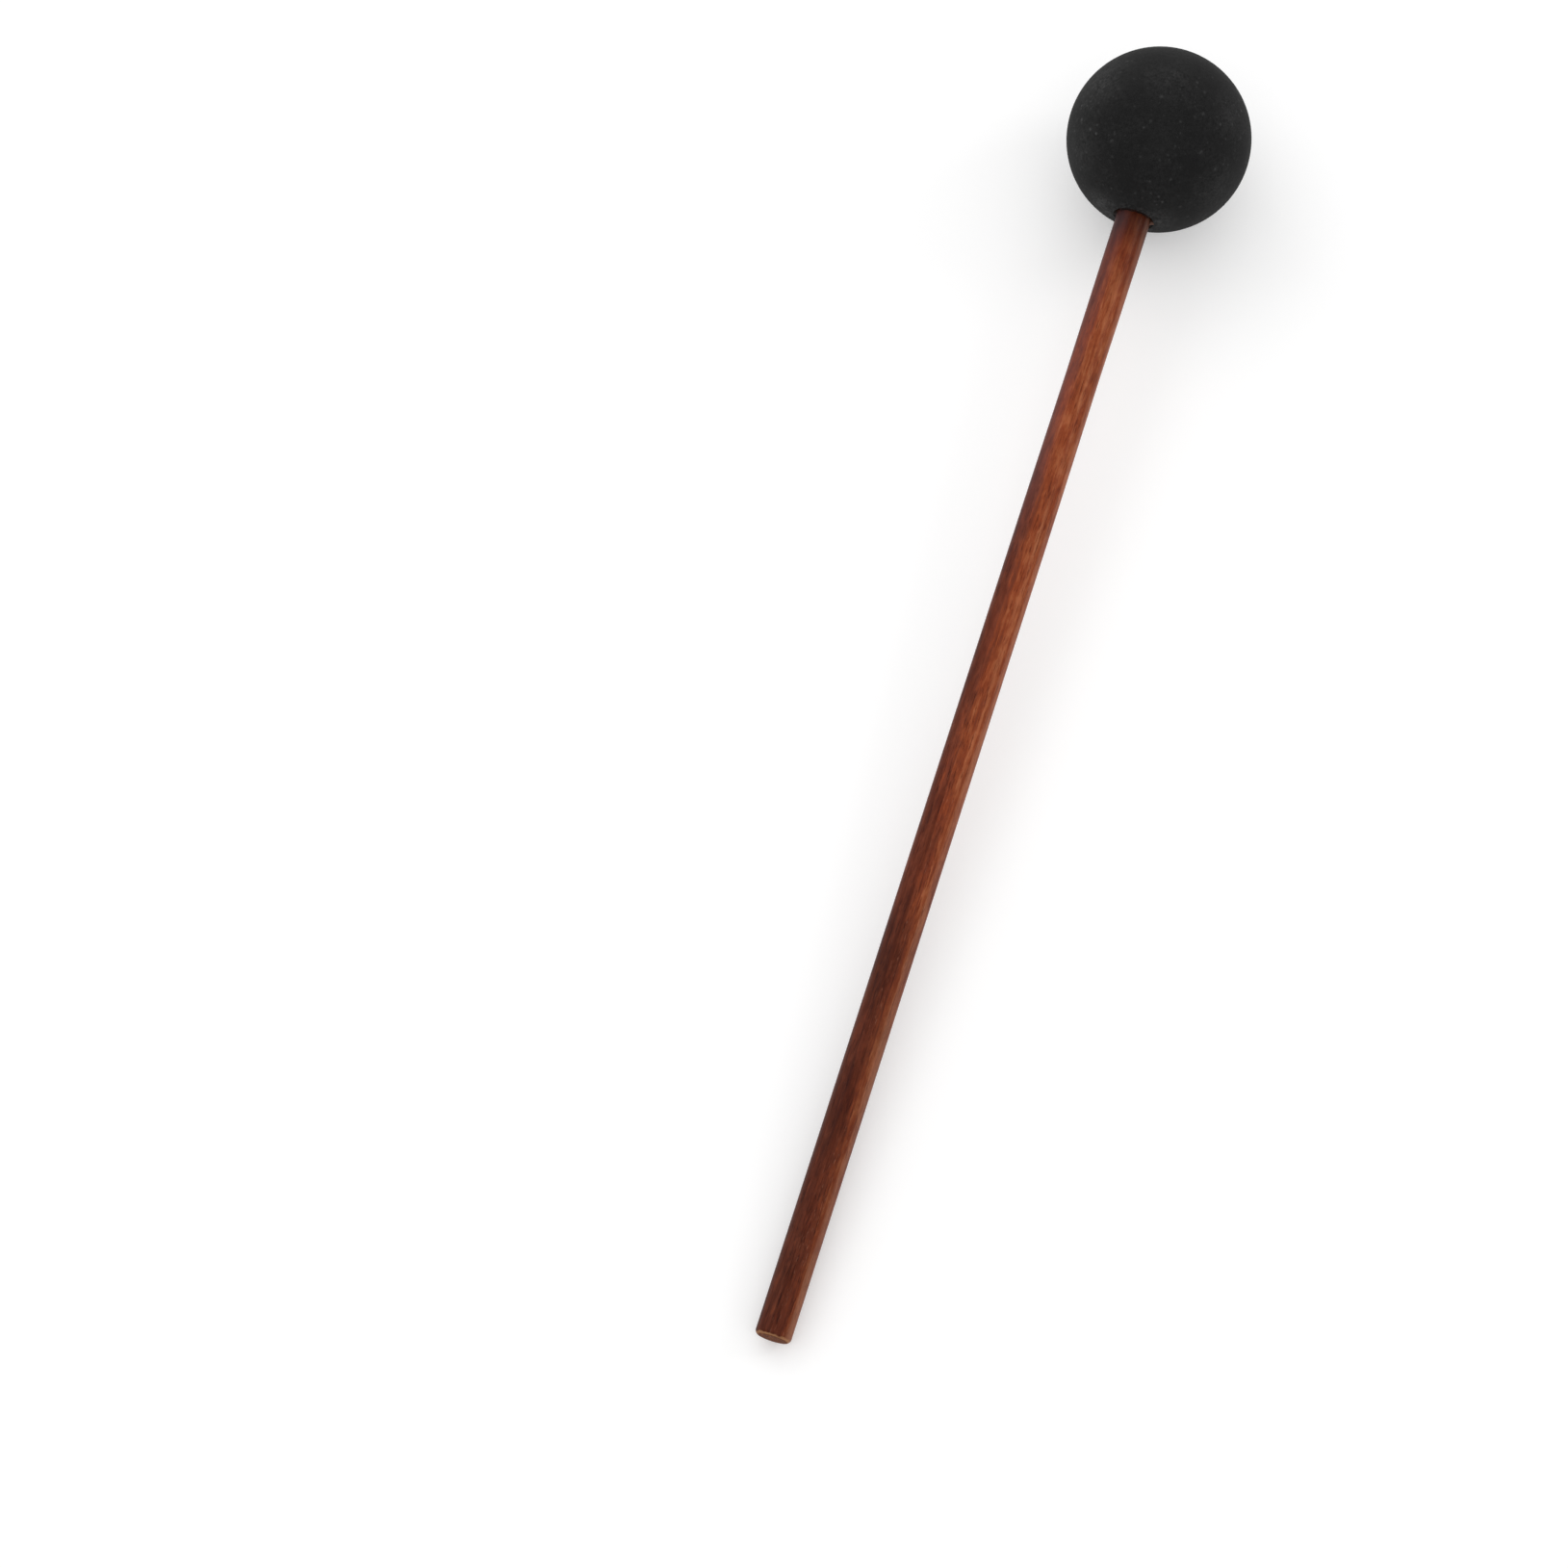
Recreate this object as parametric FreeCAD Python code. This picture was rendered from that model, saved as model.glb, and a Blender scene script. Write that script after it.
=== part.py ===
import FreeCAD
import Part

import math
import os

# Gong mallet: a solid rubber ball glued onto the end of a slim, lacquered wooden stick.
# Sizes are in millimetres, angles in degrees. The stick, the glue and the drill that bores the ball
# are each drawn as a half section and turned about the mallet's axis: x is zero at the centre of the
# ball, +x runs out through the ball, and the stick runs off towards -x. The pieces are then laid
# down as the mallet lies on a table, with the ball and the rounded butt of the stick touching z = 0,
# the head towards +X and the origin under the middle of the length.

# Ball
HEAD_DIAMETER = 32.0
BELT_SHARE = 0.6  # width of the belt of the ball between its two caps, as a share of its diameter
MOUTH_BEVEL = 0.6  # depth of the broken edge where the bore opens in the ball
DRILL_POINT_ANGLE = 118.0  # full angle of the cone that the drill leaves at the blind end

# Stick
STICK_DIAMETER = 6.0
STICK_LENGTH = 224.0
TENON_BEVEL = 0.5  # on the end that goes into the ball
BUTT_ROUND = 0.8  # on the rim of the free end

# Shallow waist, sanded into the stick a little below the ball
WAIST_DIAMETER = 5.8
WAIST_START = 6.0  # from the ball's surface
WAIST_RUN_IN = 25.0
WAIST_RUN_OUT = 24.0

# Glued joint
SEAT_DEPTH = 20.0  # how far the stick goes in below the ball's surface
GLUE_FILM = 0.15  # clearance between the stick and the wall of the bore
GLUE_POOL = 1.2  # clearance between the stick's end and the shoulder of the bore
GLUE_CLIMB = 0.35  # how far the squeezed-out glue wets up the stick

CUT_OVERRUN = 1.0  # how far a cutting shape reaches past what it cuts

HEAD_RADIUS = HEAD_DIAMETER / 2
STICK_RADIUS = STICK_DIAMETER / 2
WAIST_RADIUS = WAIST_DIAMETER / 2
BORE_RADIUS = STICK_RADIUS + GLUE_FILM

# Places along the axis
TENON_END_X = SEAT_DEPTH - HEAD_RADIUS
BUTT_END_X = TENON_END_X - STICK_LENGTH
BORE_SHOULDER_X = TENON_END_X + GLUE_POOL
BORE_POINT_X = BORE_SHOULDER_X + BORE_RADIUS / math.tan(math.radians(DRILL_POINT_ANGLE / 2))
BORE_MOUTH_X = MOUTH_BEVEL - math.sqrt(HEAD_RADIUS ** 2 - BORE_RADIUS ** 2)


def point(x, radius):
    """A point of a half section: its place along the axis and its distance from it."""
    return FreeCAD.Vector(x, 0, radius)


def line(start, end):
    return Part.LineSegment(start, end).toShape()


def arc(start, middle, end):
    return Part.Arc(start, middle, end).toShape()


def eased(start, end):
    """A gentle S-curve that leaves start and reaches end parallel to the axis."""
    half_way = (start.x + end.x) / 2
    curve = Part.BezierCurve()
    curve.setPoles([start, point(half_way, start.z), point(half_way, end.z), end])
    return curve.toShape()


def turned(edges):
    """The solid that a closed half section sweeps out in a full turn about the axis.

    Its edges run anticlockwise, seen with +x to the right, so that the solid's faces look outwards.
    """
    section = Part.Face(Part.Wire(edges))
    return section.revolve(FreeCAD.Vector(0, 0, 0), FreeCAD.Vector(1, 0, 0), 360)


def bore_wall():
    """The blind bore's edges, from the point that the drill leaves out to the bevel at its mouth."""
    drill_point = point(BORE_POINT_X, 0)
    shoulder = point(BORE_SHOULDER_X, BORE_RADIUS)
    mouth = point(BORE_MOUTH_X, BORE_RADIUS)
    return [line(drill_point, shoulder), line(shoulder, mouth)]


def tenon_wall(far_point):
    """The bevelled end of the stick, from its centre round to a point out along its side."""
    centre = point(TENON_END_X, 0)
    face_rim = point(TENON_END_X, STICK_RADIUS - TENON_BEVEL)
    side_rim = point(TENON_END_X - TENON_BEVEL, STICK_RADIUS)
    return [line(centre, face_rim), line(face_rim, side_rim), line(side_rim, far_point)]


def ball():
    """A solid ball, its surface laid in a belt round the mallet's axis and two caps at its ends.

    The caps belong to a sphere that stands upright, with its poles and its seam in the belt, so
    none of them lies in the striking face or at the mouth of the bore.
    """
    centre = FreeCAD.Vector(0, 0, 0)
    along = FreeCAD.Vector(1, 0, 0)
    up = FreeCAD.Vector(0, 0, 1)
    belt_width = HEAD_DIAMETER * BELT_SHARE
    slab_width = HEAD_DIAMETER + 2 * CUT_OVERRUN
    slab_corner = FreeCAD.Vector(-belt_width / 2, -slab_width / 2, -slab_width / 2)
    slab = Part.makeBox(belt_width, slab_width, slab_width, slab_corner)
    belt = Part.makeSphere(HEAD_RADIUS, centre, along).common(slab)
    upright = Part.makeSphere(HEAD_RADIUS, centre, up)
    upright.rotate(centre, up, 90)
    return belt.fuse(upright.cut(slab))


def drill():
    """What the drill takes out: the blind bore, its pointed end and the bevel at its mouth."""
    flare = HEAD_RADIUS + BORE_MOUTH_X + CUT_OVERRUN
    flare_rim = point(BORE_MOUTH_X - flare, BORE_RADIUS + flare)
    flare_centre = point(flare_rim.x, 0)
    return turned([
        *bore_wall(),
        line(point(BORE_MOUTH_X, BORE_RADIUS), flare_rim),
        line(flare_rim, flare_centre),
        line(flare_centre, point(BORE_POINT_X, 0)),
    ])


def rubber_head():
    """Solid rubber ball with a blind bore."""
    return ball().cut(drill())


def wooden_stick():
    """Bevelled tenon, shallow waist below the ball, straight grip and rounded butt."""
    waist_top = point(-HEAD_RADIUS - WAIST_START, STICK_RADIUS)
    waist_middle = point(waist_top.x - WAIST_RUN_IN, WAIST_RADIUS)
    grip_top = point(waist_middle.x - WAIST_RUN_OUT, STICK_RADIUS)
    rim_side = point(BUTT_END_X + BUTT_ROUND, STICK_RADIUS)
    rim_face = point(BUTT_END_X, STICK_RADIUS - BUTT_ROUND)
    reach = BUTT_ROUND * math.sin(math.radians(45))
    rim_middle = point(rim_side.x - reach, rim_face.z + reach)
    butt_centre = point(BUTT_END_X, 0)
    return turned([
        *tenon_wall(waist_top),
        eased(waist_top, waist_middle),
        eased(waist_middle, grip_top),
        line(grip_top, rim_side),
        arc(rim_side, rim_middle, rim_face),
        line(rim_face, butt_centre),
        line(butt_centre, point(TENON_END_X, 0)),
    ])


def glue_joint():
    """Cured glue: a pool in the blind end, a film round the tenon and a slope up the stick."""
    on_stick = point(BORE_MOUTH_X - GLUE_CLIMB, STICK_RADIUS)
    return turned([
        *bore_wall(),
        line(point(BORE_MOUTH_X, BORE_RADIUS), on_stick),
        *reversed(tenon_wall(on_stick)),
        line(point(TENON_END_X, 0), point(BORE_POINT_X, 0)),
    ])


def lying_on_a_table():
    """The placement that rests the ball and the rounded rim of the butt on z = 0."""
    rim_x = -BUTT_END_X - BUTT_ROUND
    rim_radius = STICK_RADIUS - BUTT_ROUND
    drop = HEAD_RADIUS - BUTT_ROUND
    tilt = math.asin(drop / math.hypot(rim_x, rim_radius)) - math.atan2(rim_radius, rim_x)
    butt_reach = rim_x * math.cos(tilt) + rim_radius * math.sin(tilt) + BUTT_ROUND
    ball_centre = FreeCAD.Vector((butt_reach - HEAD_RADIUS) / 2, 0, HEAD_RADIUS)
    return FreeCAD.Placement(ball_centre, FreeCAD.Rotation(FreeCAD.Vector(0, -1, 0), math.degrees(tilt)))


def main():
    pieces = {
        "rubber_head": rubber_head(),
        "wooden_stick": wooden_stick(),
        "glue_joint": glue_joint(),
    }
    os.makedirs("parts", exist_ok=True)
    placement = lying_on_a_table()
    for name, solid in pieces.items():
        solid.Placement = placement
        solid.exportStep(f"parts/{name}.step")


main()
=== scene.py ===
import math

import bpy
from mathutils import Matrix, Vector, noise


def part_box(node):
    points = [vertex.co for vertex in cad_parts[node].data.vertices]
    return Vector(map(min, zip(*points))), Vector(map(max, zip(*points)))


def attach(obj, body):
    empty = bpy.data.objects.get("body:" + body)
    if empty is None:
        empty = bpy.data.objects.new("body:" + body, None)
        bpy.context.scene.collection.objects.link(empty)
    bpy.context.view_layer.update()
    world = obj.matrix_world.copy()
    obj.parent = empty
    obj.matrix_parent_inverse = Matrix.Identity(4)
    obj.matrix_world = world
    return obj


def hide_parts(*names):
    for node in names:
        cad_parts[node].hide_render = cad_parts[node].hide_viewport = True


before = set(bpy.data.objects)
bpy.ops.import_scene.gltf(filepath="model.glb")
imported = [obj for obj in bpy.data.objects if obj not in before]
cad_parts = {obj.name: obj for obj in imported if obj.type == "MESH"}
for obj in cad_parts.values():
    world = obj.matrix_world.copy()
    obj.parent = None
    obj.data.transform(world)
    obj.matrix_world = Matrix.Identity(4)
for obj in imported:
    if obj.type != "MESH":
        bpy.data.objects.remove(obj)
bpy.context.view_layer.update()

# Gong mallet: a dark rubber ball glued onto a slim, lacquered wooden stick. The ball and the stick
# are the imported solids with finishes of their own; the glue that shows in the mouth of the ball's
# bore is modelled here, lumpy as it dried. Sizes are in millimetres and angles in radians unless a
# name says otherwise. They are measured in the mallet's own axes: x is zero at the centre of the
# ball and runs out through it, and the stick runs off towards -x.
MM = 0.001
WHITE = (1.0, 1.0, 1.0, 1.0)

# Sizes of the solids
HEAD_RADIUS = 16.0
STICK_RADIUS = 3.0
STICK_LENGTH = 224.0
SEAT_DEPTH = 20.0
TENON_BEVEL = 0.5
BUTT_ROUND = 0.8
BORE_RADIUS = 3.15
MOUTH_BEVEL = 0.6
GLUE_POOL = 1.2
DRILL_POINT_ANGLE = math.radians(118.0)

TENON_END_X = SEAT_DEPTH - HEAD_RADIUS
BUTT_END_X = TENON_END_X - STICK_LENGTH
BORE_SHOULDER_X = TENON_END_X + GLUE_POOL
BORE_POINT_X = BORE_SHOULDER_X + BORE_RADIUS / math.tan(DRILL_POINT_ANGLE / 2)
BORE_MOUTH_X = MOUTH_BEVEL - math.sqrt(HEAD_RADIUS ** 2 - BORE_RADIUS ** 2)

# How the mallet lies on the floor
RIM_X = -BUTT_END_X - BUTT_ROUND
RIM_RADIUS = STICK_RADIUS - BUTT_ROUND
TILT = (math.asin((HEAD_RADIUS - BUTT_ROUND) / math.hypot(RIM_X, RIM_RADIUS))
        - math.atan2(RIM_RADIUS, RIM_X))
BALL_CENTRE = Vector((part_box("rubber_head")[1].x - HEAD_RADIUS * MM, 0, HEAD_RADIUS * MM))
LOCAL_TO_FLOOR = (Matrix.Translation(BALL_CENTRE) @ Matrix.Rotation(-TILT, 4, "Y")
                  @ Matrix.Scale(MM, 4))
FLOOR_TO_LOCAL = LOCAL_TO_FLOOR.inverted()

# The photograph's camera
PHOTO_SIDE_PX = 1629
FOCAL_PX = 4800
BALL_PX = (1203.9, 145.3)
BALL_DEPTH_M = 0.8005
STICK_BEARING = math.radians(108.04)  # of the stick in the picture, clockwise from its right
STICK_APPROACH = math.radians(25.2)  # how far the stick comes towards the camera
SENSOR_MM = 36.0
CLIP_START_M = 0.05
CLIP_END_M = 100.0


def camera_axes():
    """The camera's place in metres, and its right, down and forward directions on the floor.

    The stick's direction is worked out as the camera sees it. The camera isn't rolled, so one turn
    and one dip of the camera lay that direction along the stick on the floor.
    """
    middle = PHOTO_SIDE_PX / 2
    ball = BALL_DEPTH_M * Vector(
        ((BALL_PX[0] - middle) / FOCAL_PX, (BALL_PX[1] - middle) / FOCAL_PX, 1))
    sight = ball.normalized()
    across = Vector((0, 1, 0)).cross(sight).normalized()
    below = sight.cross(across)
    flat = math.cos(STICK_BEARING) * across + math.sin(STICK_BEARING) * below
    stick = math.cos(STICK_APPROACH) * flat - math.sin(STICK_APPROACH) * sight
    dip = (math.atan2(stick.z, stick.y)
           + math.acos(math.sin(TILT) / math.hypot(stick.y, stick.z)))
    turn = math.pi - math.atan2(stick.z * math.cos(dip) - stick.y * math.sin(dip), stick.x)
    right = Vector((math.cos(turn), math.sin(turn), 0))
    forward = Vector(
        (-math.sin(turn) * math.cos(dip), math.cos(turn) * math.cos(dip), -math.sin(dip)))
    down = forward.cross(right)
    place = BALL_CENTRE - ball.x * right - ball.y * down - ball.z * forward
    return place, right, down, forward


CAMERA_PLACE, RIGHT, DOWN, FORWARD = camera_axes()


def make_camera():
    data = bpy.data.cameras.new("photo_camera")
    data.sensor_width = SENSOR_MM
    data.lens = FOCAL_PX / PHOTO_SIDE_PX * SENSOR_MM
    data.clip_start = CLIP_START_M
    data.clip_end = CLIP_END_M
    camera = bpy.data.objects.new("photo_camera", data)
    turn = Matrix((RIGHT, -DOWN, -FORWARD)).transposed().to_4x4()
    camera.matrix_world = Matrix.Translation(CAMERA_PLACE) @ turn
    bpy.context.scene.collection.objects.link(camera)
    bpy.context.scene.camera = camera


make_camera()

# Directions round the stick, as angles from y towards z: the camera's right, in which the layers of
# the wood follow each other, the side that faces the camera, and the sense from there to the right
TO_RIGHT = FLOOR_TO_LOCAL.to_3x3() @ RIGHT
TO_CAMERA = FLOOR_TO_LOCAL @ CAMERA_PLACE
LAYER_ANGLE = math.atan2(TO_RIGHT.z, TO_RIGHT.y)
FRONT_ANGLE = math.atan2(TO_CAMERA.z, TO_CAMERA.y)
RIGHTWARDS = 1 if math.sin(LAYER_ANGLE - FRONT_ANGLE) > 0 else -1

# Sockets of the mix node for colours, which has others of the same names
MIX_SHARE, MIX_ONE, MIX_OTHER = 0, 6, 7
MIX_RESULT = 2


def linear(colour):
    """A colour written as rrggbb in sRGB, as linear numbers with alpha."""
    shares = [int(colour[index:index + 2], 16) / 255 for index in (0, 2, 4)]
    return (*[c / 12.92 if c <= 0.04045 else ((c + 0.055) / 1.055) ** 2.4 for c in shares], 1.0)


class Value:
    """A number or colour that varies over a surface: a node's output, with arithmetic."""

    def __init__(self, graph, socket):
        self.graph = graph
        self.socket = socket

    def __add__(self, other):
        return self.graph.math("ADD", self, other)

    def __sub__(self, other):
        return self.graph.math("SUBTRACT", self, other)

    def __mul__(self, other):
        return self.graph.math("MULTIPLY", self, other)

    def __truediv__(self, other):
        return self.graph.math("DIVIDE", self, other)

    __radd__ = __add__

    def __rsub__(self, other):
        return self.graph.math("SUBTRACT", other, self)


class Graph:
    """The nodes of a material or world. Its places are in the mallet's axes and millimetres."""

    def __init__(self, tree):
        self.tree = tree
        self.tree.nodes.clear()

    def node(self, kind, inputs=(), **settings):
        made = self.tree.nodes.new(kind)
        for key, value in settings.items():
            setattr(made, key, value)
        for key, value in dict(inputs).items():
            if isinstance(value, Value):
                self.tree.links.new(value.socket, made.inputs[key])
            else:
                made.inputs[key].default_value = value
        return made

    def out(self, made, key=0):
        return Value(self, made.outputs[key])

    def math(self, operation, *numbers):
        made = self.node("ShaderNodeMath", dict(enumerate(numbers)), operation=operation)
        return self.out(made)

    def measure(self, operation, *vectors):
        """A number worked out from vectors, such as their distance."""
        made = self.node("ShaderNodeVectorMath", dict(enumerate(vectors)), operation=operation)
        return self.out(made, "Value")

    def places(self):
        """Where each point of the surface is: a vector in the mallet's axes."""
        coordinates = self.out(self.node("ShaderNodeTexCoord"), "Object")
        return self.out(self.node("ShaderNodeMapping", {
            "Vector": coordinates,
            "Location": BALL_CENTRE,
            "Rotation": (0, -TILT, 0),
            "Scale": (MM, MM, MM),
        }, vector_type="TEXTURE"))

    def split(self, vector):
        parts = self.node("ShaderNodeSeparateXYZ", {0: vector})
        return [self.out(parts, index) for index in range(3)]

    def join(self, x, y, z):
        return self.out(self.node("ShaderNodeCombineXYZ", {0: x, 1: y, 2: z}))

    def stretched(self, vector, sizes, shift, turn):
        """A vector in which features of these sizes have size 1, shifted to its own pattern."""
        return self.out(self.node("ShaderNodeMapping", {
            "Vector": vector,
            "Location": (shift, shift * 0.7, shift * 1.3),
            "Rotation": turn,
            "Scale": [1 / size for size in sizes],
        }, vector_type="POINT"))

    def noise(self, vector, sizes, detail=2.0, roughness=0.5, distortion=0.0, shift=0.0,
              turn=(0, 0, 0)):
        """Soft random variation from 0 to 1, with features of about these sizes."""
        return self.out(self.node("ShaderNodeTexNoise", {
            "Vector": self.stretched(vector, sizes, shift, turn),
            "Scale": 1.0,
            "Detail": detail,
            "Roughness": roughness,
            "Distortion": distortion,
        }), "Fac")

    def cells(self, vector, size, shift):
        """Random cells of about this size: how far each point is from its cell's middle as a share
        of the size, and a random number from 0 to 1 for each cell."""
        made = self.node("ShaderNodeTexVoronoi", {
            "Vector": self.stretched(vector, (size, size, size), shift, (0, 0, 0)),
            "Scale": 1.0,
        })
        chance = self.split(self.out(made, "Color"))[0]
        return self.out(made, "Distance"), chance

    def ease(self, value, low, high, to_low=0.0, to_high=1.0):
        """A smooth step from to_low, where value is low, to to_high, where it is high."""
        flip = low > high
        return self.out(self.node("ShaderNodeMapRange", {
            "Value": value,
            "From Min": min(low, high),
            "From Max": max(low, high),
            "To Min": to_high if flip else to_low,
            "To Max": to_low if flip else to_high,
        }, interpolation_type="SMOOTHSTEP"))

    def ramp(self, value, *stops):
        made = self.node("ShaderNodeValToRGB", {"Fac": value})
        elements = made.color_ramp.elements
        while len(elements) < len(stops):
            elements.new(0.5)
        for element, (position, colour) in zip(elements, stops):
            element.position = position
            element.color = linear(colour)
        return self.out(made)

    def blend(self, kind, share, one, other):
        """Colour one, blended with the other as share goes from 0 to 1."""
        made = self.node("ShaderNodeMix", data_type="RGBA", blend_type=kind)
        for key, value in ((MIX_SHARE, share), (MIX_ONE, one), (MIX_OTHER, other)):
            if isinstance(value, str):
                value = linear(value)
            if isinstance(value, Value):
                self.tree.links.new(value.socket, made.inputs[key])
            else:
                made.inputs[key].default_value = value
        return self.out(made, MIX_RESULT)

    def mix(self, share, one, other):
        """Colour one, turning into the other as share goes from 0 to 1."""
        return self.blend("MIX", share, one, other)

    def tint(self, colour, share):
        """A colour times a varying share."""
        return self.blend("MULTIPLY", 1.0, colour, self.join(share, share, share))

    def bump(self, height, depth):
        """A normal bent by height, which is from 0 to 1 and stands for depth millimetres."""
        return self.out(self.node("ShaderNodeBump", {
            "Height": height,
            "Distance": depth * MM,
            "Strength": 1.0,
        }))

    def show(self, shader, output="ShaderNodeOutputMaterial"):
        """Makes a shader the surface of what the graph belongs to."""
        self.tree.links.new(shader.outputs[0], self.node(output).inputs["Surface"])


def new_material(name):
    """A new material, and the graph of its nodes."""
    material = bpy.data.materials.new(name)
    material.use_nodes = True
    return material, Graph(material.node_tree)


# Wood. Changes along the stick happen over these stretches of x.
HEART_WIDENS = (-50.0, -85.0)
HEART_WIDENS_MORE = (-105.0, -140.0)
HEART_DEEPENS = (-45.0, -105.0)
SHADE_STARTS = (-58.0, -75.0)
SHADE_WEAKENS = (-90.0, -105.0)
PALE_LAYER_STARTS = (-40.0, -60.0)
PALE_LAYER_DULLS = (-138.0, -118.0)
LINES_CLEAR = (-100.0, -130.0)
FLECKS_CLEAR = (-110.0, -140.0)
LEFT_SHEEN_FADES = (-90.0, -62.0)
HEAD_SHADE = (-35.0, -20.0)
MOUTH_SHADE = (-23.5, -16.5)
HAND_SHADE = (-125.0, -165.0)
BUTT_WEAR = (BUTT_END_X + 3.0, BUTT_END_X + 1.5)

GRAIN_SLANT = math.radians(3.5)
PALE_LAYER = 1.3  # where its middle is, across the layers
WOOD_TONES = (
    (0.00, "491b0d"),
    (0.21, "5d2814"),
    (0.35, "6b3320"),
    (0.55, "813d20"),
    (0.67, "8e4a2b"),
    (0.72, "935232"),
    (0.90, "a6623f"),
)
END_GRAIN_TONES = ((0.30, "2a120a"), (0.50, "63331c"), (0.66, "84502f"))
WARM_TINT = (1.0, 0.90, 0.85, 1.0)
# Tint near the ball: glue soaked into the wood, plus painted shade of the ball
GLUE_AND_SHADE_TINT = (0.56, 0.45, 0.40, 1.0)
PORE_COLOUR = "8f604a"
# Colour of the painted glints
PAINTED_GLINT_COLOUR = "b07a62"
# Colour of the painted sheen along the stick's right-hand edge
PAINTED_EDGE_SHEEN_COLOUR = "c8a898"
# Colour of the painted reflection down the stick's left side
PAINTED_LEFT_SHEEN_COLOUR = "7a6068"
BARE_WOOD_AND_GLINT_COLOUR = "a87a55"


def heartwood_share(g, along, layer):
    """Dark heartwood down one side, wider and deeper towards the butt, and a weaker shade that
    reaches farther across."""
    half_way = g.ease(along, *HEART_WIDENS) * 0.5
    border = -1.4 + half_way + g.ease(along, *HEART_WIDENS_MORE) * 1.6
    past_border = (layer - border) * (1.1 - half_way)
    shade = g.ease(along, *SHADE_STARTS) * 0.16 - g.ease(along, *SHADE_WEAKENS) * 0.07
    return (g.ease(past_border, 1.0, -1.0) * (0.34 + g.ease(along, *HEART_DEEPENS) * 0.02)
            + g.ease(layer, 1.25, 0.5) * shade)


def finish_butt(g, place, along, layer, colour):
    """The colour with end grain on the butt and its rim paler, worn lacquer plus a painted glint,
    and where both are.
    """
    normal = g.out(g.node("ShaderNodeNewGeometry"), "Normal")
    outwards = LOCAL_TO_FLOOR.to_3x3().normalized() @ Vector((-1, 0, 0))
    facing = g.measure("DOT_PRODUCT", normal, outwards)
    at_butt = g.ease(along, *BUTT_WEAR)
    end_face = g.ease(facing, 0.75, 0.95) * at_butt
    dots = g.noise(place, (3, 0.16, 0.16), detail=1.0, shift=2.9)
    rings = g.noise(g.join(0.0, layer, 0.0), (1, 0.35, 1), detail=2.0, shift=83.0)
    end_colour = g.ramp(dots * 0.65 + rings * 0.35, *END_GRAIN_TONES)
    colour = g.mix(end_face, colour, end_colour)
    rub = g.noise(place, (0.9, 0.9, 0.9), detail=3.0, shift=31.0)
    worn_rim_and_glint = (g.ease(facing + (rub - 0.5) * 1.3, 0.34, 0.72) * g.ease(facing, 0.98, 0.80)
            * at_butt)
    # Pale rim: bare wood where the lacquer wore off, and a painted glint on the rounding
    return g.mix(worn_rim_and_glint * 0.7, colour, BARE_WOOD_AND_GLINT_COLOUR), end_face, worn_rim_and_glint


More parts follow.
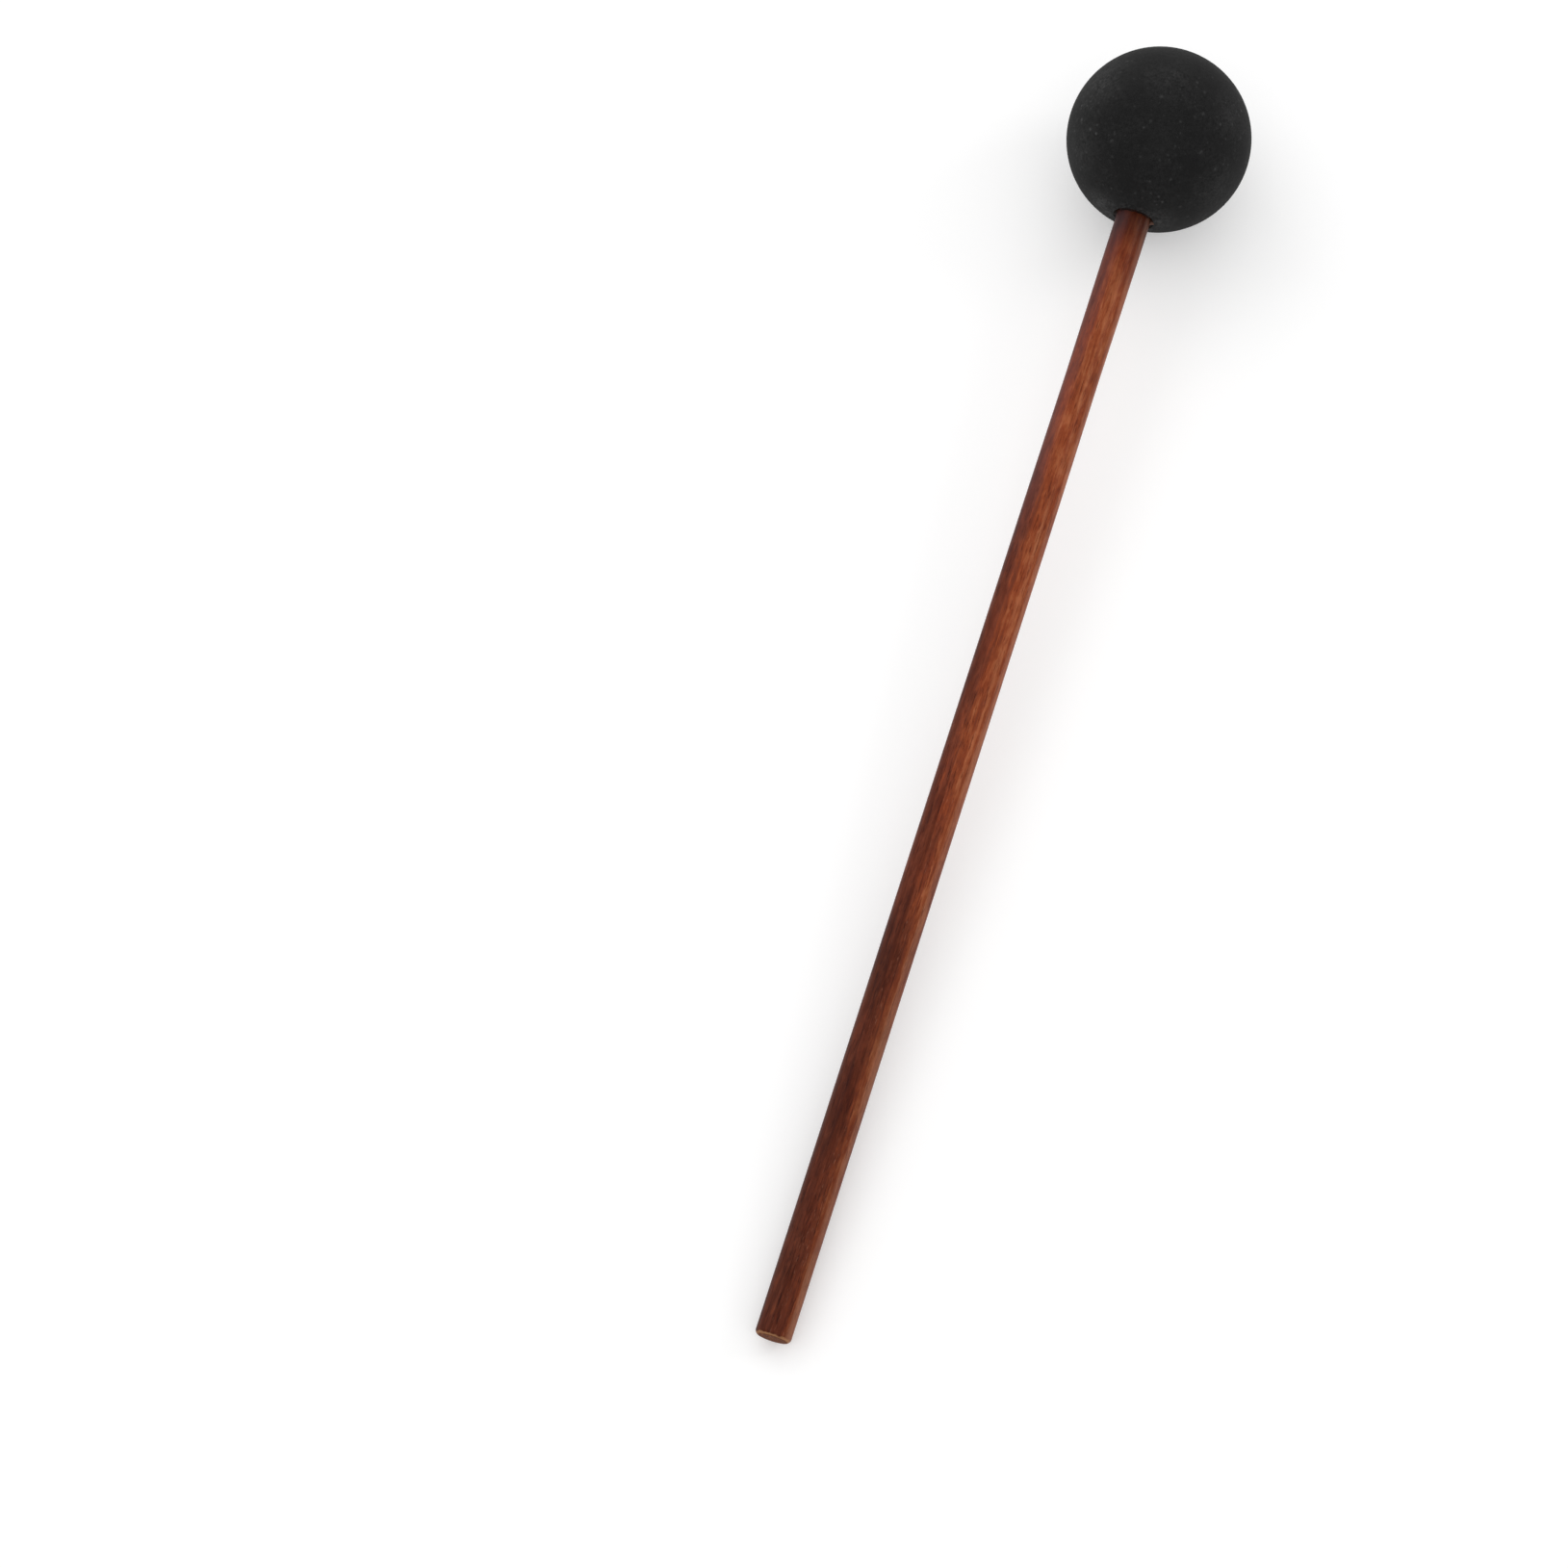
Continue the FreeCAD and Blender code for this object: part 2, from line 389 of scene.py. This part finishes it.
def wood_finish():
    """Reddish brown hardwood with fine open pores under a thin satin lacquer, worn at the butt."""
    material, g = new_material("lacquered_wood_grain")
    place = g.places()
    along, across, up = g.split(place)

    # Millimetres across the layers of the wood, which wander slowly along the stick
    drift = g.noise(place, (60, 8, 8)) - 0.5
    ripple = g.noise(place, (14, 1.8, 1.8), shift=7.1) - 0.5
    straight = across * math.cos(LAYER_ANGLE) + up * math.sin(LAYER_ANGLE)
    layer = straight + drift * 1.1 + ripple * 0.9
    bands = g.noise(g.join(along / 60, layer, along / 110), (1, 0.7, 1), detail=3.0,
                    roughness=0.55, shift=3.3)

    heartwood = heartwood_share(g, along, layer)

    # A layer that is pale in the middle of the stick and dull near the butt, and a painted sheen
    # along the stick's edge beside it
    pale_layer = (g.ease(g.math("ABSOLUTE", layer - PALE_LAYER), 0.65, 0.0)
                  * g.ease(along, *PALE_LAYER_DULLS, -1.3, 1.0)
                  * g.ease(along, *PALE_LAYER_STARTS))
    painted_edge_sheen = g.ease(layer, 1.9, 2.5) * g.ease(layer, 2.6, 3.0, 1.0, 0.35)

    # Long fine lines, clearest towards the butt
    lines = g.noise(g.join(along / 50, layer, along / 90), (1, 0.33, 1), detail=2.0, shift=71.0)
    lines_share = 0.12 + g.ease(along, *LINES_CLEAR) * g.ease(layer, -0.5, 0.8, 0.32, 0.55)

    # Grain, which runs out of the stick at a slant, and patches that don't follow it
    slant = (0, 0, GRAIN_SLANT)
    streaks = g.noise(place, (7, 0.6, 0.6), detail=3.0, roughness=0.6, shift=23.0, turn=slant)
    fibres = g.noise(place, (2.6, 0.2, 0.2), detail=3.0, roughness=0.65, shift=5.7, turn=slant)
    rows = g.noise(place, (26, 0.55, 0.55), detail=2.0, shift=13.0, turn=slant)
    dashes = g.noise(place, (2.2, 0.2, 0.2), detail=1.0, shift=2.9, turn=slant)
    flecks = g.noise(place, (1.3, 0.17, 0.17), detail=1.0, shift=47.0, turn=slant)
    pores = g.ease(dashes + (rows - 0.5) * 0.6, 0.60, 0.74)
    blotches = g.noise(place, (3.2, 1.1, 1.1), detail=3.0, roughness=0.6, distortion=0.4,
                       shift=37.0)
    patches = g.noise(place, (20, 6, 6), detail=3.0, shift=19.0)
    haze = g.noise(place, (0.7, 0.3, 0.3), detail=2.0, roughness=0.6, shift=61.0)
    hue = g.noise(place, (9, 2.2, 2.2), detail=2.0, shift=53.0)

    # Darker near the ball, where glue soaked in and painted shade of the ball lies; painted shade
    # in the mouth; and painted shadow of a holding hand towards the butt
    glue_soak_and_head_shade = g.ease(along + (blotches - 0.5) * 6, *HEAD_SHADE)
    painted_mouth_shade = g.ease(along + (blotches - 0.5) * 2, *MOUTH_SHADE)
    painted_hand_shadow = g.ease(along + (patches - 0.5) * 50, *HAND_SHADE)

    tone = (0.65 - heartwood + pale_layer * 0.08 + painted_edge_sheen * 0.10
            + (bands - 0.5) * 0.45 + (lines - 0.5) * lines_share
            + (streaks - 0.5) * 0.50 + (fibres - 0.5) * 0.46
            + (patches - 0.5) * 0.55 + (blotches - 0.5) * (0.66 + glue_soak_and_head_shade * 0.2))
    colour = g.ramp(tone, *WOOD_TONES)
    colour = g.blend("MULTIPLY", g.ease(hue, 0.35, 0.65), colour, WARM_TINT)
    # Painted shade of the ball, with soaked glue, darkens the stick near it
    colour = g.blend("MULTIPLY", glue_soak_and_head_shade, colour, GLUE_AND_SHADE_TINT)
    # Painted shade in the mouth, and painted shadow of a hand towards the butt
    colour = g.tint(colour, (1.0 - painted_mouth_shade * 0.6) * (1.0 - painted_hand_shadow * 0.33))
    colour = g.blend("MULTIPLY", pores * (0.62 - glue_soak_and_head_shade * 0.45), colour, PORE_COLOUR)
    # Painted glints: pale flecks in rows, a highlight broken up by the pores, stronger towards the
    # camera's right
    glint_rows = (g.ease(rows, 0.45, 0.60) * g.ease(layer, -1.2, 0.6, 0.25, 1.0)
                  * (1.0 - glue_soak_and_head_shade))
    painted_glint_share = (g.ease(flecks, 0.60, 0.76) * glint_rows
                   * (0.16 + g.ease(along, *FLECKS_CLEAR) * 0.08))
    colour = g.mix(painted_glint_share, colour, PAINTED_GLINT_COLOUR)
    # Painted sheen along the stick's edge towards the camera's right
    colour = g.mix(painted_edge_sheen * 0.08, colour, PAINTED_EDGE_SHEEN_COLOUR)
    # Painted greyish reflection down the stick's left side, fading out towards the butt
    painted_left_sheen = g.ease(layer, -0.2, -2.0) * g.ease(along, *LEFT_SHEEN_FADES)
    colour = g.mix(painted_left_sheen * 0.12, colour, PAINTED_LEFT_SHEEN_COLOUR)
    colour = g.tint(colour, 0.80 + haze * 0.40)
    colour, end_face, worn_rim_and_glint = finish_butt(g, place, along, layer, colour)

    roughness = (0.46 + (fibres - 0.5) * 0.2 + (patches - 0.5) * 0.12 + pores * 0.15
                 + worn_rim_and_glint * 0.15 + end_face * 0.35)
    height = fibres * 0.5 + streaks * 0.3 - pores * 0.6 + blotches * 0.4
    g.show(g.node("ShaderNodeBsdfPrincipled", {
        "Base Color": colour,
        "Roughness": roughness,
        "Normal": g.bump(height, 0.03),
        "Specular IOR Level": 0.05,
        "Coat Weight": 0.07,
        "Coat Roughness": 0.28,
    }))
    return material


# Patches of the ball, as the photograph shows them: how far right of the ball's centre and how far
# below it they are, as shares of its radius, how far they reach, how ragged their edges are, and
# for the lighter ones, dust with painted sheen, how strong they are
CALM_PATCH = (-0.04, 0.06, 10.0, 1.0)
DUST_AND_SHEEN_PATCHES = (
    (-0.62, -0.62, 8.5, 1.0, 1.5),
    (0.08, -0.66, 7.0, 1.0, 0.8),
    (-0.86, 0.10, 7.5, 1.0, 0.9),
    (0.66, 0.55, 7.0, 1.0, 0.8),
    (0.75, -0.25, 6.0, 1.0, 0.5),
    (-0.57, 0.72, 5.6, 0.7, 3.3),
    (-0.02, 0.88, 6.0, 0.5, 2.1),
)
# Specks, each in a cell of its own: the size of the cells, how far a speck reaches as a share of
# that size, the share of the cells that have one, how strong the strongest is, and the pattern's
# shift
SPECKS = (
    (2.2, 0.23, 0.70, 0.70, 2.0),
    (1.4, 0.27, 0.75, 0.60, 6.0),
    (0.9, 0.30, 0.60, 0.42, 8.0),
)
RUBBER_COLOUR = "171717"
SPECK_COLOUR = "5c5c5c"
SCUFF_COLOUR = "454545"


def on_ball(right, down):
    """The point of the ball's surface that the photograph shows at these shares of its radius."""
    sight = (BALL_CENTRE - CAMERA_PLACE).normalized()
    across = (RIGHT - RIGHT.dot(sight) * sight).normalized()
    below = sight.cross(across)
    back = math.sqrt(1 - right ** 2 - down ** 2)
    outwards = right * across + down * below - back * sight
    return FLOOR_TO_LOCAL.to_3x3().normalized() @ outwards * HEAD_RADIUS


def rubber_finish():
    """Matte charcoal rubber, mottled, with patches of dust and painted sheen, pale specks, a
    scuffed rim and painted shade round the bore.
    """
    material, g = new_material("matte_rubber_specks")
    place = g.places()
    along, across, up = g.split(place)
    cloud = g.noise(place, (9, 9, 9), detail=3.0, roughness=0.6)
    mottle = g.noise(place, (1.3, 1.3, 1.3), detail=3.0, roughness=0.6, shift=9.0)
    pebble = g.noise(place, (0.5, 0.5, 0.5), detail=2.0, roughness=0.6, shift=15.0)
    grain = g.noise(place, (0.2, 0.2, 0.2), detail=2.0, shift=4.0)
    fine = mottle * 0.5 + pebble * 0.5

    def nearness(right, down, reach, ragged):
        """1 at a place on the ball, easing to 0 at reach millimetres from it."""
        distance = g.measure("DISTANCE", place, on_ball(right, down))
        wander = (mottle - 0.5) * 5 + (pebble - 0.5) * 3 + (cloud - 0.5) * 6
        return g.ease(distance + wander * ragged, reach, 0.0)

    # Handled smooth in the middle of one side; towards its edges lighter patches of dust and
    # painted sheen
    calm = nearness(*CALM_PATCH)
    dust_and_sheen = 0.0
    for *patch, strength in DUST_AND_SHEEN_PATCHES:
        dust_and_sheen = nearness(*patch) * strength + dust_and_sheen
    contrast = g.ease(cloud, 0.3, 0.65, 0.5, 1.5) * (1.0 - calm * 0.5)
    shade = (1.02 + (cloud - 0.5) * 1.6
             + ((mottle - 0.5) * 1.3 + (pebble - 0.5) * 2.1 + (grain - 0.5) * 1.5) * contrast)
    # Lighter where dust lies and where sheen is painted on
    shade = shade * (1.0 + dust_and_sheen * g.ease(fine, 0.40, 0.62, 0.65, 1.2))
    colour = g.tint(RUBBER_COLOUR, shade)

    # Pale specks in drifts
    speckled = along + pebble * 0.4, across, up + grain * 0.3
    specks = 0.0
    for size, reach, share, strength, shift in SPECKS:
        distance, chance = g.cells(g.join(*speckled), size, shift)
        speck = g.ease(distance, reach, 0.0) * g.ease(chance, share, 0.0) * strength
        specks = g.math("MAXIMUM", specks, speck)
    drifts = g.ease(cloud, 0.40, 0.62)
    specks = specks * (0.25 + drifts * 0.75) * (1.0 - calm * 0.75) * 0.9
    colour = g.mix(specks, colour, SPECK_COLOUR)

    # The edge of the bore: painted shade round the mouth, with a scuffed rim
    from_axis = g.math("SQRT", across * across + up * up)
    round_bore = g.ease(along, -9.0, -12.0)
    # Painted shade round the mouth of the bore
    painted_bore_shade = g.ease(from_axis + (mottle - 0.5) * 2, 5.6, 3.6) * round_bore
    colour = g.tint(colour, 1.0 - painted_bore_shade * 0.15)
    rim = g.ease(from_axis, 5.4, 4.1) * g.ease(from_axis, 3.6, 3.9) * round_bore
    colour = g.mix(rim * g.ease(fine, 0.48, 0.58) * 0.30, colour, SCUFF_COLOUR)

    height = mottle * 0.45 + pebble * 0.35 + grain * 0.2 + specks * 0.4
    g.show(g.node("ShaderNodeBsdfPrincipled", {
        "Base Color": colour,
        "Roughness": 0.88 + (pebble - 0.5) * 0.3,
        "Normal": g.bump(height, 0.06),
        "Specular IOR Level": 0.08,
        "Sheen Weight": 0.03,
        "Sheen Roughness": 0.7,
    }))
    return material


# Glue
GLUE_TURNS = 180  # points round the stick
GLUE_STEPS = 9  # steps across its face in the mouth, from the ball to the stick
GLUE_OVERLAP = 0.03  # how far it goes into the ball and the stick, so that no gap shows
GLUE_OUTER = BORE_RADIUS + GLUE_OVERLAP
GLUE_INNER = STICK_RADIUS - GLUE_OVERLAP
GLUE_CORE = 0.25  # radius of the flats that close its ends
GLUE_TIP_GAP = 0.05  # how far the pool stops short of the point of the bore
FILM_ROWS_X = (-4.0, -10.0)  # where its film has rows of points on the wall of the bore
FULL_ON_BEVEL = 0.9  # how far out on the bevel of the mouth a fill of 1 reaches, as a share of it
SINK_DEPTH = 0.8  # how far into the bore a fill of -1 would sink
FACE_CURVE = 1.8  # makes its face in the mouth hollow
FACE_RIPPLE = 0.07
GLUE_TONES = ((0.42, "140907"), (0.58, "26120c"), (0.74, "4a2d20"))
TAN_LUMP_COLOUR = "60453a"
TAN_LUMP_TURN = 1.5
# Lumps and bare spots in the mouth: how far round from the front of the stick towards the camera's
# right, how wide, and how much they add to the filling of the mouth
MOUTH_LUMPS = (
    (TAN_LUMP_TURN, 0.22, 0.6),
    (-1.70, 0.34, 0.8),
    (1.12, 0.14, -0.8),
    (1.95, 0.16, -0.9),
    (-1.20, 0.14, -0.9),
)


def glue_finish():
    """Dried brown glue: dark where thick, tan on one raised lump."""
    material, g = new_material("dried_brown_glue")
    place = g.places()
    lumps = g.noise(place, (0.9, 0.9, 0.9), detail=3.0, shift=1.5)
    colour = g.ramp(lumps, *GLUE_TONES)
    turn = FRONT_ANGLE + RIGHTWARDS * TAN_LUMP_TURN
    tan_lump = Vector(
        (BORE_MOUTH_X - 0.5, BORE_RADIUS * math.cos(turn), BORE_RADIUS * math.sin(turn)))
    from_lump = g.measure("DISTANCE", place, tan_lump)
    on_lump = g.ease(from_lump + (lumps - 0.5) * 1.2, 0.9, 0.3)
    colour = g.mix(on_lump, colour, TAN_LUMP_COLOUR)
    g.show(g.node("ShaderNodeBsdfPrincipled", {
        "Base Color": colour,
        "Roughness": 0.5 + lumps * 0.3,
        "Normal": g.bump(lumps, 0.05),
        "Specular IOR Level": 0.08,
    }))
    return material


def swell(angle, pace, seed):
    """Random swelling round the stick, from about -1 to 1. A greater pace gives more swells."""
    return noise.noise(Vector((math.cos(angle) * pace, math.sin(angle) * pace, seed)))


def mouth_face(angle):
    """Where the glue's face in the mouth starts on the ball and ends on the stick.

    At a fill of 0 it starts at the inner edge of the bevel. More brings it out on the bevel, and
    less sinks it into the bore.
    """
    fill = 0.30 + 0.40 * swell(angle, 1.3, 0.4) + 0.30 * swell(angle, 3.6, 5.1)
    for turn, width, rise in MOUTH_LUMPS:
        away = (angle - FRONT_ANGLE - RIGHTWARDS * turn + math.pi) % (2 * math.pi) - math.pi
        fill += rise * math.exp(-(away / width) ** 2)
    fill = max(-0.9, min(1.0, fill))
    if fill > 0:
        on_bevel = MOUTH_BEVEL * fill * FULL_ON_BEVEL
        start = (BORE_MOUTH_X - on_bevel, BORE_RADIUS + on_bevel + GLUE_OVERLAP)
    else:
        start = (BORE_MOUTH_X - fill * SINK_DEPTH, GLUE_OUTER)
    climb = 0.10 + 0.22 * max(0.0, swell(angle, 2.2, 9.7)) + 0.07 * swell(angle, 7.0, 2.2)
    end = (start[0] - 0.15 - climb * (0.4 + max(0.0, fill)), GLUE_INNER)
    return start, end


def mouth_row(faces, angles, share):
    """One row of points round the glue's face, at a share of the way from ball to stick."""
    row = []
    for (start, end), angle in zip(faces, angles):
        x = start[0] + (end[0] - start[0]) * share ** FACE_CURVE
        radius = start[1] + (end[1] - start[1]) * share
        x -= math.sin(math.pi * share) * FACE_RIPPLE * (swell(angle, 5.0, share * 2.0) + 0.2)
        row.append((x, radius))
    return row


def make_glue():
    """The glue: a pool in the blind end, a film round the tenon and dried lumps in the mouth."""
    angles = [2 * math.pi * index / GLUE_TURNS for index in range(GLUE_TURNS)]
    faces = [mouth_face(angle) for angle in angles]

    def ring(x, radius):
        return [(x, radius)] * GLUE_TURNS

    rows = [ring(BORE_POINT_X - GLUE_TIP_GAP, GLUE_CORE), ring(BORE_SHOULDER_X, GLUE_OUTER)]
    rows += [ring(x, GLUE_OUTER) for x in FILM_ROWS_X]
    rows += [mouth_row(faces, angles, step / GLUE_STEPS) for step in range(GLUE_STEPS + 1)]
    rows += [
        ring(FILM_ROWS_X[-1], GLUE_INNER),
        ring(TENON_END_X - TENON_BEVEL, GLUE_INNER),
        ring(TENON_END_X, STICK_RADIUS - TENON_BEVEL),
        ring(TENON_END_X, GLUE_CORE),
    ]
    vertices = [LOCAL_TO_FLOOR @ Vector((x, radius * math.cos(angle), radius * math.sin(angle)))
                for row in rows for (x, radius), angle in zip(row, angles)]
    polygons = []
    for first in range(0, (len(rows) - 1) * GLUE_TURNS, GLUE_TURNS):
        for index in range(GLUE_TURNS):
            following = (index + 1) % GLUE_TURNS
            polygons.append((first + index, first + following,
                             first + GLUE_TURNS + following, first + GLUE_TURNS + index))
    polygons.append(tuple(reversed(range(GLUE_TURNS))))
    polygons.append(tuple(range(len(vertices) - GLUE_TURNS, len(vertices))))
    mesh = bpy.data.meshes.new("glue_lumps")
    mesh.from_pydata(vertices, [], polygons)
    mesh.validate()
    for face in mesh.polygons:
        face.use_smooth = True
    piece = bpy.data.objects.new("glue_lumps", mesh)
    bpy.context.scene.collection.objects.link(piece)
    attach(piece, "root")
    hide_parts("glue_joint")
    give_finish(piece, glue_finish())


def give_finish(piece, material):
    piece.data.materials.clear()
    piece.data.materials.append(material)


give_finish(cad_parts["wooden_stick"], wood_finish())
give_finish(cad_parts["rubber_head"], rubber_finish())
make_glue()

# Studio: a wide pale floor in white air. The camera, gloss and glass see both as white, apart from
# the mallet's soft shadow, and the rest of the light is weaker than what they see.
FLOOR_SIDE_M = 14.0
FLOOR_GREY = (0.8, 0.8, 0.8, 1.0)
FLOOR_GLOW = 0.26
GLOW_RISE_M = (0.5, 2.0)  # from the floor's middle, over which its glow rises to white
AIR_LIGHT = 0.65
LAMP_DISTANCE_M = 1.5
LAMP_SIDE_M = 1.3


def seen_directly(g):
    """1 for rays of the camera, of gloss and of glass, which see the studio's white."""
    path = g.node("ShaderNodeLightPath")
    camera, gloss, glass = [
        g.out(path, key) for key in ("Is Camera Ray", "Is Glossy Ray", "Is Transmission Ray")]
    return g.math("MAXIMUM", g.math("MAXIMUM", camera, gloss), glass)


def floor_finish():
    material, g = new_material("pale_floor")
    diffuse = g.node("ShaderNodeBsdfDiffuse", {"Color": FLOOR_GREY})
    from_middle = g.measure("LENGTH", g.out(g.node("ShaderNodeTexCoord"), "Object"))
    far = g.ease(from_middle, *GLOW_RISE_M)
    strength = seen_directly(g) * (FLOOR_GLOW + far * (1 - FLOOR_GLOW))
    glow = g.node("ShaderNodeEmission", {"Strength": strength})
    both = g.node("ShaderNodeAddShader")
    g.tree.links.new(diffuse.outputs[0], both.inputs[0])
    g.tree.links.new(glow.outputs[0], both.inputs[1])
    g.show(both)
    return material


def make_floor():
    half = FLOOR_SIDE_M / 2
    mesh = bpy.data.meshes.new("floor")
    mesh.from_pydata([(-half, -half, 0), (half, -half, 0), (half, half, 0), (-half, half, 0)],
                     [], [(0, 1, 2, 3)])
    mesh.materials.append(floor_finish())
    floor = bpy.data.objects.new("floor", mesh)
    bpy.context.scene.collection.objects.link(floor)


def from_camera(right, up, back):
    """A direction given in the camera's axes, on the floor."""
    return right * RIGHT - up * DOWN - back * FORWARD


def soft_lamp(name, towards, radiance, distance=LAMP_DISTANCE_M, side=LAMP_SIDE_M):
    """A square lamp in a direction from the middle of the floor, which it faces."""
    towards = towards.normalized()
    data = bpy.data.lights.new(name, "AREA")
    data.shape = "SQUARE"
    data.size = side
    data.energy = radiance * math.pi * side ** 2
    lamp = bpy.data.objects.new(name, data)
    lamp.location = towards * distance
    lamp.rotation_mode = "QUATERNION"
    lamp.rotation_quaternion = towards.to_track_quat("Z", "Y")
    lamp.visible_camera = False
    bpy.context.scene.collection.objects.link(lamp)


def make_air():
    world = bpy.data.worlds.new("studio_air")
    world.use_nodes = True
    g = Graph(world.node_tree)
    strength = AIR_LIGHT + seen_directly(g) * (1 - AIR_LIGHT)
    background = g.node("ShaderNodeBackground", {"Color": WHITE, "Strength": strength})
    g.show(background, "ShaderNodeOutputWorld")
    bpy.context.scene.world = world


make_floor()
soft_lamp("ceiling", Vector((0, 0, 1)), 0.25, distance=2.5, side=6.0)
soft_lamp("head_lamp", from_camera(0, 1, 0.32), 0.35)
soft_lamp("key_lamp", from_camera(-0.8, 0.8, 0.4), 0.8)
soft_lamp("fill_lamp", from_camera(-0.8, -0.7, 0.7), 0.25)
soft_lamp("edge_lamp", from_camera(0.83, 0.40, 0.39), 3.2, side=0.5)
make_air()
bpy.context.scene.view_settings.view_transform = "Standard"
